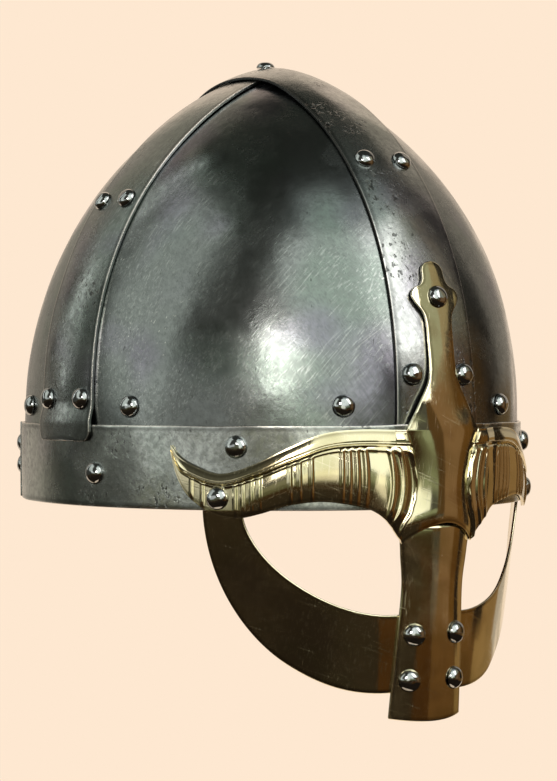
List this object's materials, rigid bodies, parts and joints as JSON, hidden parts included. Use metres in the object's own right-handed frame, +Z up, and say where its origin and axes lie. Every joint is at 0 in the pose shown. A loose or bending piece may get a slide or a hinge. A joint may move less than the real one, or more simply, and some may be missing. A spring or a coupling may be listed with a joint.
{
  "type": "viking helmet",
  "caption": "Domed steel helmet with riveted crossed bands, a brow band, a brass brow plate with a nasal bar and eye rings, and a leather liner.",
  "frame": {"origin": "centre of the helmet's rim, in the plane of the brow band's lower edge", "axes": "+Z up through the crown, -Y the way the wearer looks, +X to the wearer's left"},
  "size_m": [0.2016, 0.2397, 0.2644],
  "materials": {
    "helmet_steel": "dark blackened steel, satin polished",
    "rivet_steel": "bright hammered steel",
    "brass": "polished sheet brass, toned with age",
    "leather": "vegetable tanned, matt"
  },
  "bodies": {
    "helmet": {"panel_front_right": "helmet_steel", "panel_front_left": "helmet_steel", "panel_rear_right": "helmet_steel", "panel_rear_left": "helmet_steel", "crest_band": "helmet_steel", "cross_band": "helmet_steel", "brow_band": "helmet_steel", "brow_plate": "brass", "nasal_bar": "brass", "eye_ring_right": "brass", "eye_ring_left": "brass", "crown_rivet": "rivet_steel", "crest_upper_rivets": "rivet_steel", "crest_lower_rivets": "rivet_steel", "cross_upper_rivets": "rivet_steel", "cross_lower_rivets": "rivet_steel", "panel_rivets": "rivet_steel", "brow_band_rivets": "rivet_steel", "joint_rivets": "rivet_steel", "crescent_rivets": "rivet_steel", "finial_rivet": "rivet_steel", "nasal_rivets": "rivet_steel", "root_rivets": "rivet_steel", "liner_washers": "rivet_steel", "liner_band": "leather", "liner_long_strap": "leather", "liner_cross_strap": "leather"}
  },
  "joints": []
}
